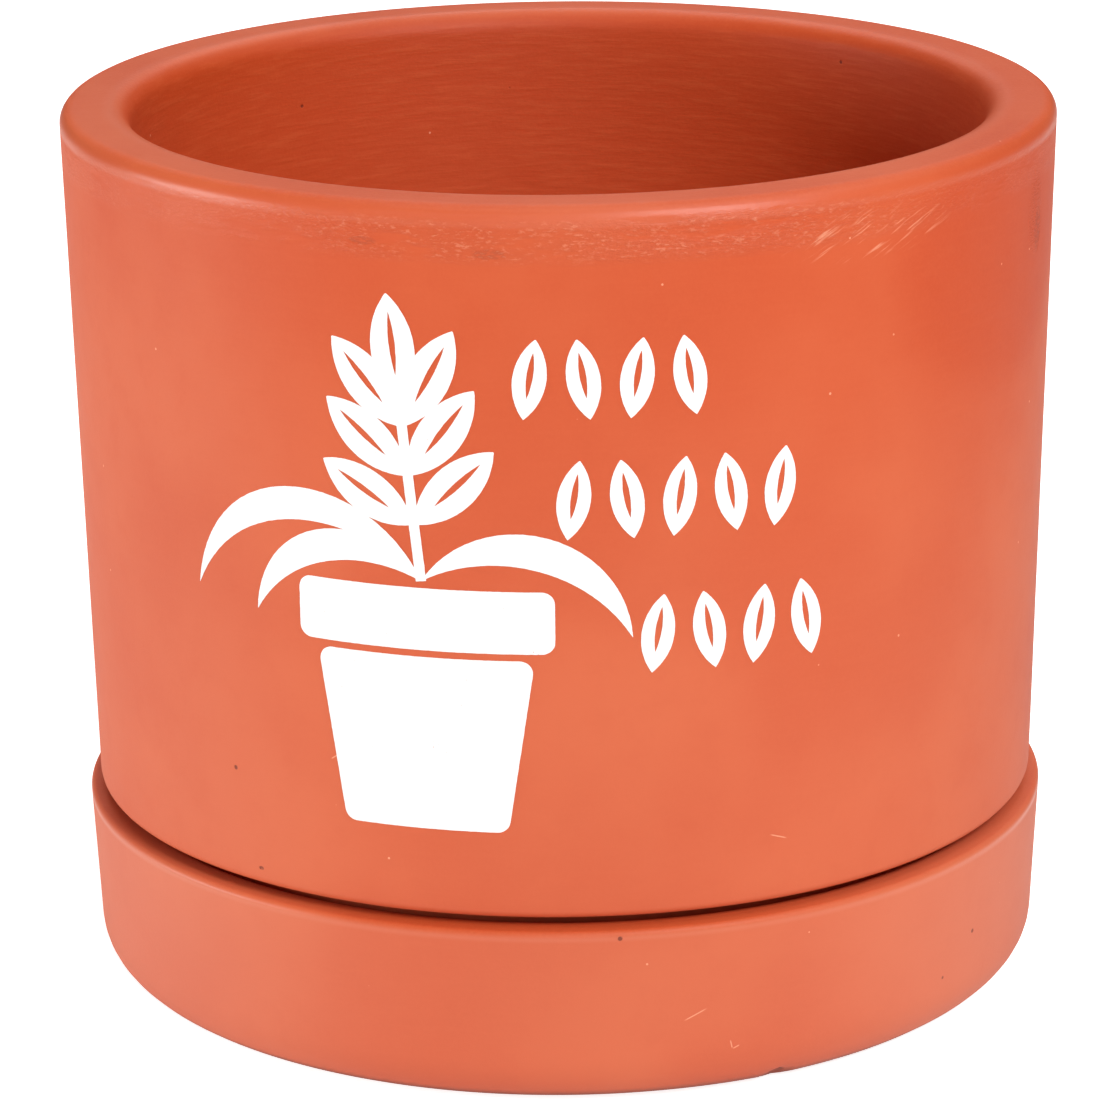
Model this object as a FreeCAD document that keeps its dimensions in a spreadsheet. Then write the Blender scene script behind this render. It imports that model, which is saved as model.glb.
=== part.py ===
"""Terracotta plant pot standing in its saucer, with a white printed decoration on the front wall.

Row frame: millimetres, +Z up, origin at the centre of the saucer's underside, the print facing -Y.
The pot is a stepped, slightly tapered cylinder. Its narrow foot drops into the saucer and stands on
the saucer's floor, and its wide wall ends just above the saucer's rim.
"""

import FreeCAD
import Part

import math
import os

from FreeCAD import Vector
import Sketcher

FULL_TURN = 360.0
POINT_TOLERANCE = 0.02
SMALLEST_CUT = 1.0  # mm3, a cut that removes less than this has missed the clay

# Every driving dimension, in millimetres unless the name says otherwise.
SIZES = {
    # pot
    "rim_radius": 65.0,
    "body_height": 91.2,
    "outer_draft": 2.25,
    "wall": 9.2,
    "inner_draft": 4.8,
    "pot_floor": 9.0,
    "foot_ring": 10.0,
    "base_recess": 2.0,
    "drain_radius": 6.5,
    "drain_chamfer": 0.8,
    "notch_width": 9.0,
    "notch_count": 3,
    "rim_round_outer": 2.0,
    "rim_round_inner": 3.0,
    "ledge_round": 1.3,
    "step_round": 1.5,
    "foot_round": 3.0,
    "floor_round": 7.0,
    # saucer
    "saucer_height": 24.2,
    "saucer_floor": 8.0,
    "saucer_overhang": 1.45,
    "saucer_wall": 5.2,
    "saucer_outer_draft": 1.2,
    "saucer_inner_draft": 0.8,
    "saucer_foot_ring": 14.0,
    "saucer_recess": 1.0,
    "saucer_rim_round_outer": 0.8,
    "saucer_rim_round_inner": 1.9,
    "saucer_base_round": 6.0,
    "saucer_floor_round": 2.5,
    # what fits between the two
    "ledge_gap": 1.1,
    "foot_clearance": 1.2,
    # printed decoration: "across" and "start" from the front, "foot" and "level" from mid-wall
    "ink": 0.15,
    "planter_across": -17.5,
    "planter_foot": -34.0,
    "planter_rim_width": 33.0,
    "planter_rim_height": 8.0,
    "planter_line": 0.9,
    "planter_body_width": 28.0,
    "planter_foot_width": 21.0,
    "planter_body_height": 22.5,
    "planter_round": 1.6,
    "stem_length": 23.0,
    "stem_width": 1.3,
    "stem_lean": -6.0,
    "leaf_length": 14.0,
    "leaf_width": 5.6,
    "leaf_line": 0.8,
    "leaf_spacing": 6.2,
    "blade_thickness": 4.2,
    "mark_length": 10.2,
    "mark_width": 4.1,
    "mark_line": 0.8,
    "mark_pitch": 6.5,
    "upper_row_start": -3.8,
    "upper_row_level": 24.3,
    "middle_row_start": 1.4,
    "middle_row_level": 9.1,
    "lower_row_start": 11.6,
    "lower_row_level": -8.3,
}
LEAF_PAIR_ANGLES = (52.0, 43.0, 34.0)  # degrees from the stem, lowest pair first
MARK_TILT = 9.0  # degrees, to alternate sides along a row
MARK_COUNTS = {"upper": 4, "middle": 5, "lower": 4}
# Long blades that arch over the drawn flowerpot's rim: crest and tip, from the stem's root.
BLADES = (
    ((-17.0, 8.2), (-33.0, -5.0)),
    ((-12.5, 3.4), (-23.0, -6.5)),
    ((12.0, 4.4), (26.0, -7.0)),
)

doc = FreeCAD.newDocument("terracotta_pot")
sheet = doc.addObject("Spreadsheet::Sheet", "sizes")
for row_number, (name, value) in enumerate(SIZES.items(), start=1):
    sheet.set(f"A{row_number}", name)
    sheet.set(f"B{row_number}", str(value))
    sheet.setAlias(f"B{row_number}", name)
doc.recompute()


def size(name):
    """The number now in the sheet's cell of that name."""
    return float(sheet.get(name))


def cell(words):
    """An expression written with plain size names, as FreeCAD reads it from the sheet."""
    for name in sorted(SIZES, key=len, reverse=True):
        words = words.replace(f"[{name}]", f"sizes.{name}")
    return words


# Levels in the pot's own frame, whose zero is the underside of its foot.
LEDGE_Z = "([saucer_height] + [ledge_gap] - [saucer_floor])"
RIM_Z = f"({LEDGE_Z} + [body_height])"
FLOOR_Z = "([base_recess] + [pot_floor])"
# Radii shared by the pot and its saucer.
LEDGE_R = "([rim_radius] - [outer_draft])"
SAUCER_R = f"({LEDGE_R} + [saucer_overhang])"
SAUCER_BASE_R = f"({SAUCER_R} - [saucer_outer_draft])"
DISH_R = f"({SAUCER_R} - [saucer_wall])"
DISH_FLOOR_R = f"({DISH_R} - [saucer_inner_draft])"
FOOT_R = f"({DISH_FLOOR_R} - [foot_clearance])"
MOUTH_R = "([rim_radius] - [wall])"
WELL_R = f"({MOUTH_R} - [inner_draft])"
RECESS_R = f"({FOOT_R} - [foot_ring])"
SAUCER_RECESS_R = f"({SAUCER_BASE_R} - [saucer_foot_ring])"
# The level of the drawn flowerpot's rim, from the wall's mid-height.
PLANTER_TOP = "([planter_foot] + [planter_body_height] + [planter_line] + [planter_rim_height])"


def number(words):
    """The value of an expression of size names, for the geometry that is found or drawn in code."""
    for name in sorted(SIZES, key=len, reverse=True):
        words = words.replace(f"[{name}]", repr(size(name)))
    return float(FreeCAD.Units.Quantity(words).Value)


def origin_plane(body, role):
    """One of the body's own origin planes."""
    return next(f for f in body.Origin.OriginFeatures if f.Role == role)


def new_sketch(body, name, role):
    """An empty sketch on one of the body's origin planes."""
    sketch = body.newObject("Sketcher::SketchObject", name)
    sketch.AttachmentSupport = (origin_plane(body, role), "")
    sketch.MapMode = "FlatFace"
    return sketch


def fix_point(sketch, edge, across, up):
    """Ties the start of one line to the sheet: its distance from the axis and its height."""
    for kind, words in (("DistanceX", across), ("DistanceY", up)):
        if words == "0":
            axis = -2 if kind == "DistanceX" else -1
            sketch.addConstraint(Sketcher.Constraint("PointOnObject", edge, 1, axis))
        else:
            value = number(words)
            index = sketch.addConstraint(Sketcher.Constraint(kind, -1, 1, edge, 1, value))
            sketch.setExpression(f"Constraints[{index}]", cell(words))


def outline_sketch(body, name, points, role="XZ_Plane"):
    """A closed polygon whose corners are pairs of expressions, tied corner by corner to the sheet."""
    sketch = new_sketch(body, name, role)
    corners = [Vector(number(across), number(up), 0) for across, up in points]
    for here, there in zip(corners, corners[1:] + corners[:1]):
        sketch.addGeometry(Part.LineSegment(here, there), False)
    count = len(corners)
    for edge in range(count):
        sketch.addConstraint(Sketcher.Constraint("Coincident", edge, 2, (edge + 1) % count, 1))
    for edge, (across, up) in enumerate(points):
        fix_point(sketch, edge, across, up)
    return sketch


def revolved(body, name, points):
    """A solid of revolution about the body's Z axis."""
    sketch = outline_sketch(body, f"{name}_outline", points)
    turned = body.newObject("PartDesign::Revolution", name)
    turned.Profile = sketch
    turned.ReferenceAxis = (sketch, ["V_Axis"])
    turned.Angle = FULL_TURN
    doc.recompute()
    return turned


def ring_edge(shape, radius, height):
    """The name of the circular edge about the Z axis at that radius and height."""
    for index, edge in enumerate(shape.Edges, start=1):
        curve = edge.Curve
        if not isinstance(curve, Part.Circle):
            continue
        on_axis = math.hypot(curve.Center.x, curve.Center.y) < POINT_TOLERANCE
        same_height = abs(curve.Center.z - height) < POINT_TOLERANCE
        if on_axis and same_height and abs(curve.Radius - radius) < POINT_TOLERANCE:
            return f"Edge{index}"
    raise ValueError(f"no ring edge of radius {radius:.2f} at height {height:.2f}")


def rounded(body, name, round_size, *rings):
    """Rounds ring edges, each given as a radius expression and a height expression."""
    base = body.Tip
    edges = [ring_edge(base.Shape, number(radius), number(height)) for radius, height in rings]
    fillet = body.newObject("PartDesign::Fillet", name)
    fillet.Base = (base, edges)
    fillet.setExpression("Radius", cell(f"[{round_size}]"))
    body.Tip = fillet
    doc.recompute()
    return fillet


def check_cut(before, feature):
    """Stops the build if a cut removed no clay."""
    removed = before - feature.Shape.Volume
    if removed < SMALLEST_CUT:
        raise ValueError(f"{feature.Label} removed only {removed:.3f} mm3")


def new_body(label):
    """A PartDesign body with the label that names its file."""
    body = doc.addObject("PartDesign::Body", label)
    body.Label = label
    return body


# ---------------------------------------------------------------- the fired clay


def make_pot():
    """The stepped pot: foot with a recess and drain notches, drain hole, tapered wall, round rim."""
    body = new_body("pot")
    revolved(
        body,
        "pot_clay",
        [
            ("0", "[base_recess]"),
            (RECESS_R, "[base_recess]"),
            (RECESS_R, "0"),
            (FOOT_R, "0"),
            (FOOT_R, LEDGE_Z),
            (LEDGE_R, LEDGE_Z),
            ("[rim_radius]", RIM_Z),
            (MOUTH_R, RIM_Z),
            (WELL_R, FLOOR_Z),
            ("0", FLOOR_Z),
        ],
    )
    rounded(body, "rim_outer_round", "rim_round_outer", ("[rim_radius]", RIM_Z))
    rounded(body, "rim_inner_round", "rim_round_inner", (MOUTH_R, RIM_Z))
    rounded(body, "ledge_edge_round", "ledge_round", (LEDGE_R, LEDGE_Z))
    rounded(body, "step_root_round", "step_round", (FOOT_R, LEDGE_Z))
    rounded(body, "foot_edge_round", "foot_round", (FOOT_R, "0"))
    rounded(body, "well_corner_round", "floor_round", (WELL_R, FLOOR_Z))
    drain_hole(body)
    drain_notches(body)
    body.setExpression("Placement.Base.z", cell("[saucer_floor]"))
    return body


def drain_hole(body):
    """The hole through the middle of the floor, with both of its edges chamfered."""
    sketch = new_sketch(body, "drain_outline", "XY_Plane")
    circle = Part.Circle(Vector(0, 0, 0), Vector(0, 0, 1), size("drain_radius"))
    sketch.addGeometry(circle, False)
    sketch.addConstraint(Sketcher.Constraint("Coincident", 0, 3, -1, 1))
    index = sketch.addConstraint(Sketcher.Constraint("Radius", 0, size("drain_radius")))
    sketch.setExpression(f"Constraints[{index}]", cell("[drain_radius]"))
    before = body.Tip.Shape.Volume
    pocket = body.newObject("PartDesign::Pocket", "drain_hole")
    pocket.Profile = sketch
    pocket.Reversed = True
    pocket.Type = "Length"
    pocket.setExpression("Length", cell(RIM_Z))
    doc.recompute()
    check_cut(before, pocket)
    chamfer = body.newObject("PartDesign::Chamfer", "drain_edges")
    rings = [(number("[drain_radius]"), number(height)) for height in ("[base_recess]", FLOOR_Z)]
    chamfer.Base = (pocket, [ring_edge(pocket.Shape, *ring) for ring in rings])
    chamfer.setExpression("Size", cell("[drain_chamfer]"))
    body.Tip = chamfer
    doc.recompute()


def drain_notches(body):
    """Radial grooves across the foot ring, which let the drained water into the saucer."""
    half = "([notch_width] / 2)"
    inner = f"({RECESS_R} - [foot_ring] / 2)"
    outer = f"({FOOT_R} + [foot_ring] / 2)"
    before = body.Tip.Shape.Volume
    corners = [(inner, f"(0 - {half})"), (outer, f"(0 - {half})"), (outer, half), (inner, half)]
    sketch = outline_sketch(body, "notch_outline", corners, "XY_Plane")
    pocket = body.newObject("PartDesign::Pocket", "drain_notch")
    pocket.Profile = sketch
    pocket.Reversed = True
    pocket.Type = "Length"
    pocket.setExpression("Length", cell("[base_recess]"))
    doc.recompute()
    check_cut(before, pocket)
    pattern = body.newObject("PartDesign::PolarPattern", "drain_notches")
    pattern.Originals = [pocket]
    pattern.Axis = (sketch, ["N_Axis"])
    pattern.Angle = FULL_TURN
    pattern.setExpression("Occurrences", cell("[notch_count]"))
    body.Tip = pattern
    doc.recompute()
    check_cut(pocket.Shape.Volume, pattern)


def make_saucer():
    """The shallow round dish under the pot, standing on a wide ring."""
    body = new_body("saucer")
    revolved(
        body,
        "saucer_clay",
        [
            ("0", "[saucer_recess]"),
            (SAUCER_RECESS_R, "[saucer_recess]"),
            (SAUCER_RECESS_R, "0"),
            (SAUCER_BASE_R, "0"),
            (SAUCER_R, "[saucer_height]"),
            (DISH_R, "[saucer_height]"),
            (DISH_FLOOR_R, "[saucer_floor]"),
            ("0", "[saucer_floor]"),
        ],
    )
    rounded(body, "saucer_base_edge", "saucer_base_round", (SAUCER_BASE_R, "0"))
    rounded(body, "saucer_rim_outer", "saucer_rim_round_outer", (SAUCER_R, "[saucer_height]"))
    rounded(body, "saucer_rim_inner", "saucer_rim_round_inner", (DISH_R, "[saucer_height]"))
    rounded(body, "dish_corner", "saucer_floor_round", (DISH_FLOOR_R, "[saucer_floor]"))
    return body


# ---------------------------------------------------------------- the printed decoration
# The artwork is drawn flat: millimetres round the wall from the front, and up from its mid-height.
# on_plane() lays it on a plane in front of the pot, shortened towards the sides, so that it has its
# true width once block_of() carries it straight back through the round wall.


def on_plane(point):
    """A flat point of the artwork on the drawing plane in front of the pot."""
    radius = number("[rim_radius] - [outer_draft] / 2")
    front = -number("[rim_radius] + [wall]")
    middle = number(f"[saucer_floor] + {LEDGE_Z} + [body_height] / 2")
    return Vector(radius * math.sin(point[0] / radius), front, middle + point[1])


def turned(point, angle, pivot):
    """A flat point turned clockwise about a pivot, in degrees."""
    c, s = math.cos(math.radians(angle)), math.sin(math.radians(angle))
    x, y = point[0] - pivot[0], point[1] - pivot[1]
    return pivot[0] + x * c + y * s, pivot[1] - x * s + y * c


def block_of(steps):
    """A block through the front wall, from steps of two points, a line, or three points, an arc."""
    edges = []
    for step in steps:
        points = [on_plane(point) for point in step]
        make = Part.LineSegment if len(points) == 2 else Part.Arc
        edges.append(make(*points).toShape())
    face = Part.Face(Part.Wire(Part.__sortEdges__(edges)))
    return face.extrude(Vector(0, number("[rim_radius] + [wall]"), 0))


def lens(base, start, end, width, angle):
    """A leaf shape along a line from its base: two arcs that meet at the tips."""
    middle = (start + end) / 2

    def at(across, along):
        return turned((base[0] + across, base[1] + along), angle, base)

    left = [at(0, start), at(-width / 2, middle), at(0, end)]
    right = [at(0, end), at(width / 2, middle), at(0, start)]
    return block_of([left, right])


def leaf(base, length, width, line, angle):
    """A solid leaf with a thin clear midrib."""
    midrib = lens(base, 0.26 * length, 0.84 * length, line, angle)
    return lens(base, 0.0, length, width, angle).cut(midrib)


def tapered_block(low, high, low_width, high_width, across, corner):
    """A tapered block with round corners, between two levels."""
    corners = [
        (across - low_width / 2, low),
        (across + low_width / 2, low),
        (across + high_width / 2, high),
        (across - high_width / 2, high),
    ]
    cuts = []
    for index, here in enumerate(corners):
        cut = []
        for other in (corners[index - 1], corners[(index + 1) % 4]):
            share = corner / math.dist(here, other)
            cut.append((here[0] + (other[0] - here[0]) * share, here[1] + (other[1] - here[1]) * share))
        cuts.append(cut)
    steps = []
    for index, (here, (entry, leave)) in enumerate(zip(corners, cuts)):
        bulge = tuple((2 * h + e + v) / 4 for h, e, v in zip(here, entry, leave))
        steps.append([entry, bulge, leave])
        steps.append([leave, cuts[(index + 1) % 4][0]])
    return block_of(steps)


def planter_art():
    """A plain flowerpot: a tapered body and a rim band, with a thin clear line between them."""
    across, foot, corner = size("planter_across"), size("planter_foot"), size("planter_round")
    shoulder = foot + size("planter_body_height")
    widths = (size("planter_foot_width"), size("planter_body_width"))
    body = tapered_block(foot, shoulder, *widths, across, corner)
    width, top = size("planter_rim_width"), number(PLANTER_TOP)
    rim = tapered_block(shoulder + size("planter_line"), top, width, width, across, corner)
    return [body, rim]


def sprig_art():
    """A stem with a leaf at its tip and leaves in pairs, and long blades arching to both sides."""
    root = (size("planter_across"), number(PLANTER_TOP) + size("planter_line"))
    length, half = size("stem_length"), size("stem_width") / 2
    lean = size("stem_lean")
    leaf_size = (size("leaf_length"), size("leaf_width"), size("leaf_line"))

    def on_stem(aside, along):
        return turned((root[0] + aside, root[1] + along), lean, root)

    corners = [on_stem(-half, 0), on_stem(-half, length), on_stem(half, length), on_stem(half, 0)]
    stem = block_of(list(zip(corners, corners[1:] + corners[:1])))
    leaves = [leaf(on_stem(0, length - half), *leaf_size, lean)]
    pairs = len(LEAF_PAIR_ANGLES)
    for pair, angle in enumerate(LEAF_PAIR_ANGLES):
        joint = on_stem(0, length + leaf_size[1] / 2 - (pairs - pair) * size("leaf_spacing"))
        leaves += [leaf(joint, *leaf_size, lean + side * angle) for side in (-1, 1)]
    thick = size("blade_thickness") / 2
    for crest, tip in BLADES:
        end = (root[0] + tip[0], root[1] + tip[1])
        over, under = [(root[0] + crest[0], root[1] + crest[1] + rise) for rise in (thick, -thick)]
        leaves.append(block_of([[root, over, end], [end, under, root]]))
    return [stem.fuse(leaves).removeSplitter()]


def row_art(start, count, level):
    """A row of small upright leaves, tilted to alternate sides."""
    length, width, line = size("mark_length"), size("mark_width"), size("mark_line")
    art = []
    for index in range(count):
        middle = (start + index * size("mark_pitch"), level)
        tilt = MARK_TILT * (-1) ** index
        foot = turned((middle[0], level - length / 2), tilt, middle)
        art.append(leaf(foot, length, width, line, tilt))
    return art


def ink_sleeve():
    """A thin tapered sleeve on the pot's outer wall, as thick as the ink."""
    cones = []
    for name, extra in (("ink_outside", "[ink]"), ("ink_inside", "0")):
        cone = doc.addObject("Part::Cone", name)
        cone.setExpression("Radius1", cell(f"{LEDGE_R} + {extra}"))
        cone.setExpression("Radius2", cell(f"[rim_radius] + {extra}"))
        cone.setExpression("Height", cell("[body_height]"))
        cone.setExpression("Placement.Base.z", cell(f"[saucer_floor] + {LEDGE_Z}"))
        cones.append(cone)
    sleeve = doc.addObject("Part::Cut", "ink_sleeve")
    sleeve.Base, sleeve.Tool = cones
    doc.recompute()
    return sleeve


def printed(sleeve, label, blocks):
    """The part of the ink sleeve that lies within the blocks of a piece of artwork."""
    art = doc.addObject("Part::Feature", f"{label}_art")
    art.Shape = Part.makeCompound(blocks)
    film = doc.addObject("Part::Common", label)
    film.Label = label
    film.Base, film.Tool = sleeve, art
    doc.recompute()
    return film


def make_print():
    """Every patch of the decoration, each printed film as its own object."""
    sleeve = ink_sleeve()
    films = [
        printed(sleeve, "print_planter", planter_art()),
        printed(sleeve, "print_sprig", sprig_art()),
    ]
    for name, count in MARK_COUNTS.items():
        blocks = row_art(size(f"{name}_row_start"), count, size(f"{name}_row_level"))
        films.append(printed(sleeve, f"print_marks_{name}", blocks))
    return films


# ---------------------------------------------------------------- check and write


def write_parts(parts):
    """Checks every object of the document, then writes one STEP file for each sub-part."""
    doc.recompute()
    for thing in doc.Objects:
        if {"Invalid", "Error"} & set(thing.State):
            raise ValueError(f"{thing.Label} failed: {thing.State}")
    for part in parts:
        if part.Shape.isNull() or not part.Shape.isValid() or not part.Shape.Solids:
            raise ValueError(f"{part.Label} is not a valid solid")
    os.makedirs("parts", exist_ok=True)
    for part in parts:
        part.Shape.exportStep(f"parts/{part.Label}.step")
        box = part.Shape.BoundBox
        print(
            f"{part.Label}: {len(part.Shape.Solids)} solid, {part.Shape.Volume:.1f} mm3, "
            f"z {box.ZMin:.2f} to {box.ZMax:.2f}"
        )


write_parts([make_saucer(), make_pot(), *make_print()])
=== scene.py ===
"""Terracotta plant pot in its saucer, with a white printed decoration, on a pale studio sweep.

Every piece is in metres in the part's own frame: +Z up, the printed front towards -Y, the origin at
the centre of the saucer's underside.
"""

import math

import bpy
from mathutils import Matrix, Vector


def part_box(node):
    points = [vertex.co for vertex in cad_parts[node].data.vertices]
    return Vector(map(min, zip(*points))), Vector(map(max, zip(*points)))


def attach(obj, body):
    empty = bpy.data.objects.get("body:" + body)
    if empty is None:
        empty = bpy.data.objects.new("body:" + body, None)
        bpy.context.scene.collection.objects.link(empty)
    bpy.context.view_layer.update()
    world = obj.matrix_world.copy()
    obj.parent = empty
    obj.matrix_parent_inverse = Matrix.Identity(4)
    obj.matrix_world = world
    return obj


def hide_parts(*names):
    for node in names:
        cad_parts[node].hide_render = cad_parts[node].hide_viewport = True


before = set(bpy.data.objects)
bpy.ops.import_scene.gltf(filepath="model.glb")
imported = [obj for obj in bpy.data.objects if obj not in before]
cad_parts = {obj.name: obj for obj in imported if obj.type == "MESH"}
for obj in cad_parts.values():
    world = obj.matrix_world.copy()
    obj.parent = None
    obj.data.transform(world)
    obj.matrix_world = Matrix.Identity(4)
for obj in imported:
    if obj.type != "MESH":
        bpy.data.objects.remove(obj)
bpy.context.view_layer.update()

MM = 0.001
TURN = 2 * math.pi

# ---------------------------------------------------------------- sizes, in millimetres

POT_LOW, POT_HIGH = (corner[2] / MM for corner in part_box("pot"))
SAUCER_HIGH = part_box("saucer")[1][2] / MM

RIM_RADIUS = 65.0
LEDGE_RADIUS = 62.75
LEDGE_HEIGHT = 25.3
MOUTH_RADIUS = 55.8
MOUTH_ROUND = 3.0
WELL_RADIUS = 51.0
WELL_FLOOR = 19.0
FOOT_RADIUS = 57.0
FOOT_RING = 10.0
BASE_RECESS = 2.0
DRAIN_RADIUS = 6.5
NOTCH_WIDTH = 9.0
NOTCH_COUNT = 3
NOTCH_EDGE = 0.6
SEAM_GAP = 0.002

SAUCER_RADIUS = 64.2
SAUCER_BASE_RADIUS = 63.0
SAUCER_EDGE_ROUND = 0.8
DISH_RADIUS = 59.0
DISH_FLOOR_RADIUS = 58.2
SAUCER_RING = 14.0
SAUCER_RECESS = 1.0

# Unevenness of hand-finished clay: it only ever takes clay away from the true form.
WAVE_DEPTH = 0.10
WAVE_LENGTH = 26.0
POT_SEGMENTS = 320
RUN_STEP = 1.7

# A small chip in the saucer's lower edge, as deep as this share of its size
CHIP_ROUND_FRONT = math.radians(25.9)
CHIP_HEIGHT = 1.4
CHIP_SIZE = 2.4
CHIP_DEPTH = 0.32

# Printed film
INK_LIFT = 0.015
INK_THICKNESS = 0.06
INK_CELL = 1.0
INK_EDGE_STEP = 0.22
INK_EDGE_ROUGH = 0.055
INK_FRAY_SIZE = 0.8
INK_EDGE_ANGLE = 0.6

# The flat film lies between these levels while blocks of the shapes cut it.
FLAT_LOW, FLAT_HIGH = 1.0, 2.0
BLOCK_LOW, BLOCK_HEIGHT = -0.5, 3.0

PLANTER_ACROSS = -17.5
PLANTER_FOOT = 36.9
PLANTER_BODY_HEIGHT = 22.5
PLANTER_LINE = 0.9
PLANTER_RIM_HEIGHT = 8.0
PLANTER_RIM_WIDTH = 33.0
PLANTER_BODY_WIDTH = 28.0
PLANTER_FOOT_WIDTH = 21.0
PLANTER_ROUND = 1.6
PLANTER_TOP = PLANTER_FOOT + PLANTER_BODY_HEIGHT + PLANTER_LINE + PLANTER_RIM_HEIGHT

STEM_LENGTH, STEM_WIDTH, STEM_LEAN = 23.0, 1.3, -6.0
LEAF_LENGTH, LEAF_WIDTH, LEAF_LINE, LEAF_SPACING = 14.0, 5.6, 0.8, 6.2
LEAF_PAIR_ANGLES = (52.0, 43.0, 34.0)
BLADE_THICKNESS = 4.2
BLADES = (
    ((-17.0, 8.2), (-33.0, -5.0)),
    ((-12.5, 3.4), (-23.0, -6.5)),
    ((12.0, 4.4), (26.0, -7.0)),
)

MARK_LENGTH, MARK_WIDTH, MARK_LINE = 10.2, 4.1, 0.8
MARK_PITCH, MARK_TILT = 6.5, 9.0
MARK_ROWS = {
    "upper": (4, -3.8, 95.2),
    "middle": (5, 1.4, 80.0),
    "lower": (4, 11.6, 62.6),
}


# ---------------------------------------------------------------- node trees


class Wire:
    """A node's output; arithmetic on wires adds Math nodes."""

    def __init__(self, net, socket):
        self.net = net
        self.socket = socket

    def maths(self, operation, *values):
        made = self.net.add("ShaderNodeMath", {"operation": operation}, dict(enumerate(values)))
        return made["Value"]

    def __add__(self, other):
        return self.maths("ADD", self, other)

    def __sub__(self, other):
        return self.maths("SUBTRACT", self, other)

    def __rsub__(self, other):
        return self.maths("SUBTRACT", other, self)

    def __mul__(self, other):
        return self.maths("MULTIPLY", self, other)

    def __truediv__(self, other):
        return self.maths("DIVIDE", self, other)

    def __rtruediv__(self, other):
        return self.maths("DIVIDE", other, self)

    __radd__ = __add__
    __rmul__ = __mul__


class Net:
    """A node tree under construction."""

    def __init__(self, tree):
        self.tree = tree

    def add(self, kind, settings=None, inputs=None):
        """A node: its settings first, then values or wires for its sockets, by name or position."""
        made = self.tree.nodes.new(kind)
        for name, value in (settings or {}).items():
            if name == "stops":
                self.set_stops(made.color_ramp, value)
            else:
                setattr(made, name, value)
        for key, value in (inputs or {}).items():
            self.feed(self.find(made.inputs, key), value)
        return {out.name: Wire(self, out) for out in reversed(made.outputs) if out.enabled}

    def find(self, sockets, key):
        if isinstance(key, int):
            return sockets[key]
        return next(s for s in sockets if s.enabled and s.name == key)

    def feed(self, socket, value):
        wires = value if isinstance(value, list) else [value]
        for wire in wires:
            if isinstance(wire, Wire):
                self.tree.links.new(wire.socket, socket)
            else:
                socket.default_value = wire

    def set_stops(self, ramp, stops):
        while len(ramp.elements) < len(stops):
            ramp.elements.new(1.0)
        for element, (position, level) in zip(ramp.elements, stops):
            element.position = position
            element.color = (level, level, level, 1.0)


# ---------------------------------------------------------------- shader helpers


def new_material(name):
    material = bpy.data.materials.new(name)
    material.use_nodes = True
    material.node_tree.nodes.clear()
    return material, Net(material.node_tree)


def place(net, stretch=(1.0, 1.0, 1.0)):
    """Object coordinates in millimetres, stretched along each axis."""
    coords = net.add("ShaderNodeTexCoord")["Object"]
    scale = tuple(1 / (MM * s) for s in stretch)
    return net.add("ShaderNodeMapping", {}, {"Vector": coords, "Scale": scale})["Vector"]


def noise(net, vector, size, detail=2.0, rough=0.5):
    """Smooth noise about half way between 0 and 1, its lumps `size` millimetres apart."""
    return net.add(
        "ShaderNodeTexNoise",
        {"noise_dimensions": "3D"},
        {"Vector": vector, "Scale": 1 / size, "Detail": detail, "Roughness": rough},
    )["Fac"]


def band(net, value, low, high):
    """0 below low, 1 above high, and smooth between (the other way round if low is larger)."""
    settings = {"interpolation_type": "SMOOTHSTEP", "clamp": True}
    if low < high:
        ends = {"From Min": low, "From Max": high, "To Min": 0.0, "To Max": 1.0}
    else:
        ends = {"From Min": high, "From Max": low, "To Min": 1.0, "To Max": 0.0}
    return net.add("ShaderNodeMapRange", settings, {"Value": value, **ends})["Result"]


def blend(net, factor, first, second):
    """A colour between two colours."""
    return net.add(
        "ShaderNodeMix",
        {"data_type": "RGBA", "clamp_factor": True},
        {"Factor": factor, "A": first, "B": second},
    )["Result"]


def linear(red, green, blue):
    """A colour given as 0 to 255 on a screen, as linear light."""

    def channel(level):
        level /= 255
        return level / 12.92 if level <= 0.04045 else ((level + 0.055) / 1.055) ** 2.4

    return channel(red), channel(green), channel(blue), 1.0


# ---------------------------------------------------------------- materials

CLAY = linear(206, 82, 37)
CLAY_PALE = linear(213, 94, 49)
# Deeper clay: for random tone and the scar, and for painted shade.
CLAY_DEEP = linear(199, 73, 29)
# The pale veil's colour, partly dusty pallor and partly painted sheen.
CLAY_DUST_AND_SHEEN = linear(226, 152, 128)
# Pale specks and scratches, and painted glints in the smeared band.
CLAY_FLECK_AND_GLINT = linear(250, 176, 140)
# Painted shade in pits and dents.
CLAY_PIT_SHADE = linear(96, 30, 16)
# Painted contact shadow and shade at the foot.
CLAY_FOOT_SHADOW = linear(104, 56, 44)
INK_WHITE = linear(250, 250, 248)
PAPER_WHITE, PAPER_GLOW, PAPER_GLOW_ON_CLAY = 0.85, 0.85, 0.3

CLAY_IOR = 1.4
CLAY_RELIEF, CLAY_RELIEF_DEPTH = 0.4, 0.2
INK_ROUGHNESS = 0.6
INK_RELIEF, INK_RELIEF_DEPTH = 0.2, 0.1

# Zones of the clay, each fading from none to full between two distances from the axis or heights.
OUTSIDE_RADII = (59.5, 61.0)
EDGE_RADII = (63.2, 64.0)
LIP_RADII = (60.0, 58.0)
INSIDE_RADII = (57.5, 55.5)
INSIDE_HEIGHTS = (20.0, 26.0)
# Painted shade: the upper wall is painted deeper between these heights.
UPPER_SHADE_HEIGHTS = (84.0, 112.0)
# Paler towards the bottom.
PALER_LOW_HEIGHTS = (112.0, 36.0)
# Painted shade, a little darker towards the bottom, and a painted contact shadow at the very foot.
SHADY_HEIGHTS = (8.0, 2.0)
FOOT_SHADOW_HEIGHTS = (2.2, 0.9)
# How far round from the front the painted side sheen grows.
SIDE_REACHES = (15.0, 70.0)

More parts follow.
